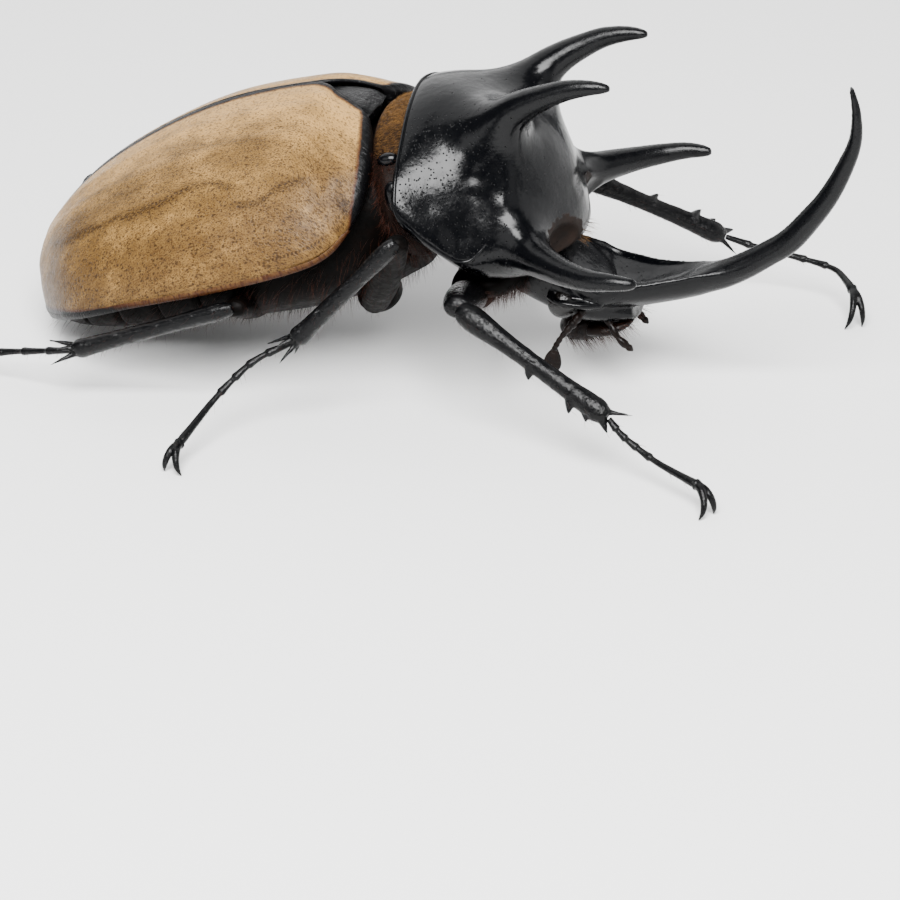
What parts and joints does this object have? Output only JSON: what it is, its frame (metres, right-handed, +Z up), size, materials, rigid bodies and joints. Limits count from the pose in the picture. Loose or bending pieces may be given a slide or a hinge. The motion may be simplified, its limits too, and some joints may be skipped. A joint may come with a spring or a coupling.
{
  "type": "five-horned rhinoceros beetle",
  "caption": "Life-size still model of a male five-horned rhinoceros beetle with tan wing cases, glossy black thorax and long curved horns.",
  "frame": {"origin": "middle of the bounding box at ground level, under the beetle", "axes": "+X towards the head, +Y to the beetle's left, +Z up"},
  "size_m": [0.0944, 0.0696, 0.035],
  "materials": {
    "shell": "mirror-gloss black chitin with fine pits on the sides",
    "horns": "gloss black chitin with fine lengthwise wrinkles",
    "elytra": "gloss tan wing cases with dark pits, brown streaks and a black border",
    "legs": "semi-gloss black chitin with a rough, pitted surface",
    "feet": "semi-gloss black chitin",
    "underside": "dark red-brown chitin with short red hair",
    "collar": "brown skin with short golden hair",
    "feelers": "dark red-brown chitin",
    "eyes": "dark glossy faceted eye"
  },
  "bodies": {
    "root": {"abdomen": "underside", "antenna_left": "feelers", "antenna_right": "feelers", "claws_front_left": "feet", "claws_front_right": "feet", "claws_hind_left": "feet", "claws_hind_right": "feet", "claws_middle_left": "feet", "claws_middle_right": "feet", "coxa_front_left": "legs", "coxa_front_right": "legs", "coxa_hind_left": "legs", "coxa_hind_right": "legs", "coxa_middle_left": "legs", "coxa_middle_right": "legs", "elytron_left": "elytra", "elytron_right": "elytra", "eye_left": "eyes", "eye_right": "eyes", "femur_front_left": "legs", "femur_front_right": "legs", "femur_hind_left": "legs", "femur_hind_right": "legs", "femur_middle_left": "legs", "femur_middle_right": "legs", "head": "shell", "head_horn": "horns", "horn_lower_left": "horns", "horn_lower_right": "horns", "horn_upper_left": "horns", "horn_upper_right": "horns", "mesothorax": "collar", "metathorax": "underside", "mouthparts": "feelers", "palp_left": "feelers", "palp_right": "feelers", "pronotum": "shell", "prosternum": "underside", "scutellum": "shell", "tarsus_front_left": "feet", "tarsus_front_right": "feet", "tarsus_hind_left": "feet", "tarsus_hind_right": "feet", "tarsus_middle_left": "feet", "tarsus_middle_right": "feet", "tibia_front_left": "legs", "tibia_front_right": "legs", "tibia_hind_left": "legs", "tibia_hind_right": "legs", "tibia_middle_left": "legs", "tibia_middle_right": "legs"}
  },
  "joints": []
}
